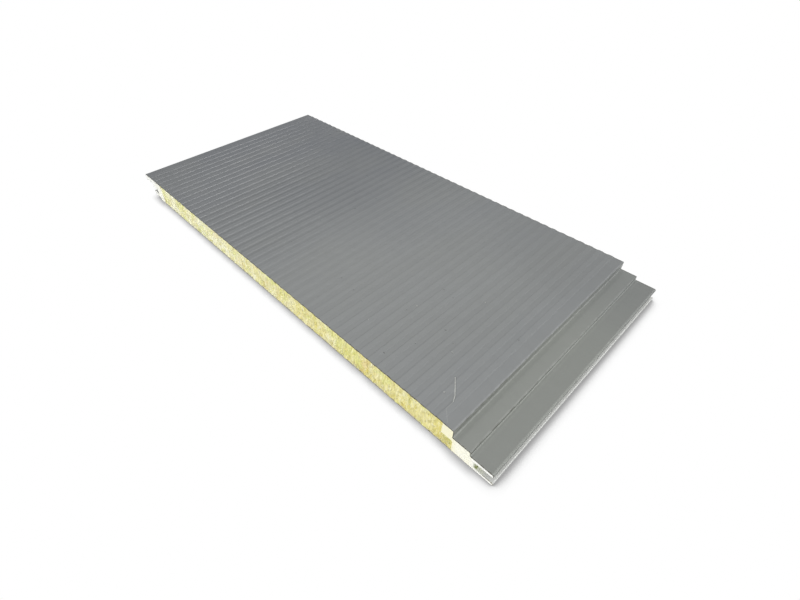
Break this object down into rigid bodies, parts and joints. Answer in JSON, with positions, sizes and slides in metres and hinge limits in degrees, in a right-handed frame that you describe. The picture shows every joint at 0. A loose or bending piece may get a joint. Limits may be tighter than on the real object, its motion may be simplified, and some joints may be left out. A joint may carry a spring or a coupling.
{
  "type": "rock-wool sandwich wall panel",
  "caption": "Short length of an insulated wall panel: two thin steel sheets on a rock-wool core, with foam-filled edges that lock panel to panel and hide the screws.",
  "frame": {"origin": "middle of the panel's underside, where it lies on the floor", "axes": "+X across the panel from the female edge to the male edge, +Y along its length, +Z from the inner sheet to the outer sheet"},
  "size_m": [1.0536, 0.5, 0.0509],
  "materials": {
    "grey_coated_steel": "satin grey polyester coating on a finely ribbed sheet",
    "white_coated_steel": "satin grey-white polyester coating",
    "rock_wool": "matt sawn mineral wool, fibres standing between the sheets",
    "edge_foam": "matt sawn rigid polyurethane foam"
  },
  "bodies": {
    "root": {"outer_sheet": "grey_coated_steel", "inner_sheet": "white_coated_steel", "rock_wool_core": "rock_wool", "female_edge_foam": "edge_foam", "male_edge_foam": "edge_foam"}
  },
  "joints": []
}
